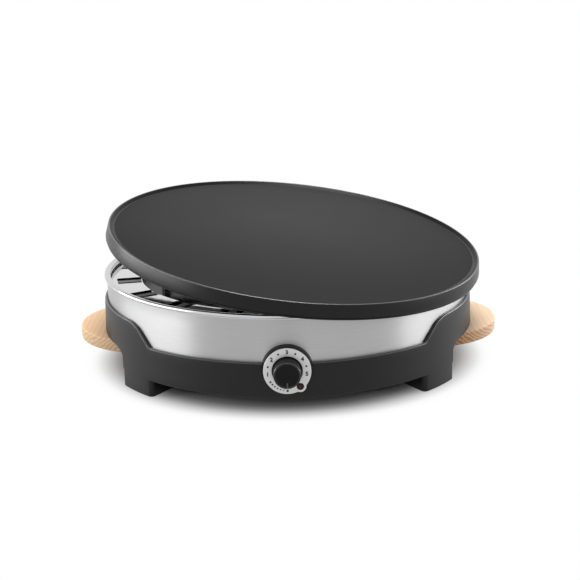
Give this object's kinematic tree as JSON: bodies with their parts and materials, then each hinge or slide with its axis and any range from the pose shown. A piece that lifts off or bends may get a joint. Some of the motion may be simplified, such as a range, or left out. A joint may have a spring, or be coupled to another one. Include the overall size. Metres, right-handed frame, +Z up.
{
  "type": "electric crepe maker",
  "caption": "Round electric crepe maker: a loose cast plate tilted open over a banded base with a front dial, arched side recesses and paddle handles.",
  "frame": {"origin": "on the table, at the middle of the bounding box of the whole object", "axes": "+Z up; +X towards the right-hand handle as seen from the front; +Y towards the back, out of the cord gland; the dial faces -Y"},
  "size_m": [0.395, 0.373, 0.1434],
  "materials": {
    "plate_metal": "cast, dark non-stick coating, matt",
    "band_steel": "brushed stainless, satin",
    "bright_sheet": "bright rolled sheet",
    "zinc_steel": "zinc plated",
    "heater_sheath": "heat-darkened steel tube",
    "shell_black": "satin black moulding",
    "gloss_black": "gloss black moulding",
    "beech": "oiled beech, fine straight grain",
    "silver_satin": "satin silver",
    "lens_red": "dark red translucent",
    "lamp_glass": "neon tube in its holder",
    "pad_rubber": "black rubber",
    "ceramic_cream": "cream ceramic",
    "brass": "plain brass"
  },
  "bodies": {
    "base": {"trim_band": "band_steel", "housing": "shell_black", "left_handle": "beech", "right_handle": "beech", "dial_bezel": "gloss_black", "dial_ring": "silver_satin", "indicator_lens": "lens_red", "indicator_lamp": "lamp_glass", "thermostat_bracket": "zinc_steel", "thermostat_body": "ceramic_cream", "reflector_pan": "bright_sheet", "heating_element": "heater_sheath", "element_supports": "zinc_steel", "pan_brackets": "zinc_steel", "sensor_guide": "brass", "sensor_spring": "zinc_steel", "base_plate": "zinc_steel", "foot_pads": "pad_rubber", "cord_gland": "gloss_black", "gland_nut": "gloss_black", "terminal_block": "ceramic_cream", "earth_stud": "brass", "thermal_fuse": "ceramic_cream"},
    "plate": {"cooking_plate": "plate_metal"},
    "knob": {"thermostat_knob": "shell_black", "thermostat_shaft": "zinc_steel"},
    "sensor": {"sensor_plunger": "zinc_steel"}
  },
  "joints": [
    {"name": "plate_tilt", "type": "hinge", "parent": "base", "child": "plate", "pos_m": [0.13278, -0.10079, 0.0401], "axis": [0.6046, 0.7965, 0], "range_deg": [-8.8, 60]},
    {"name": "knob_turn", "type": "hinge", "parent": "base", "child": "knob", "pos_m": [0, -0.176, 0.0409], "axis": [0, 1, 0], "range_deg": [0, 279]},
    {"name": "sensor_press", "type": "slide", "parent": "base", "child": "sensor", "axis": [0, 0, 1], "range_m": [-0.003, 0], "stiffness_N_per_m": 800, "springref_m": 0.002, "deforming": ["sensor_spring"]}
  ]
}
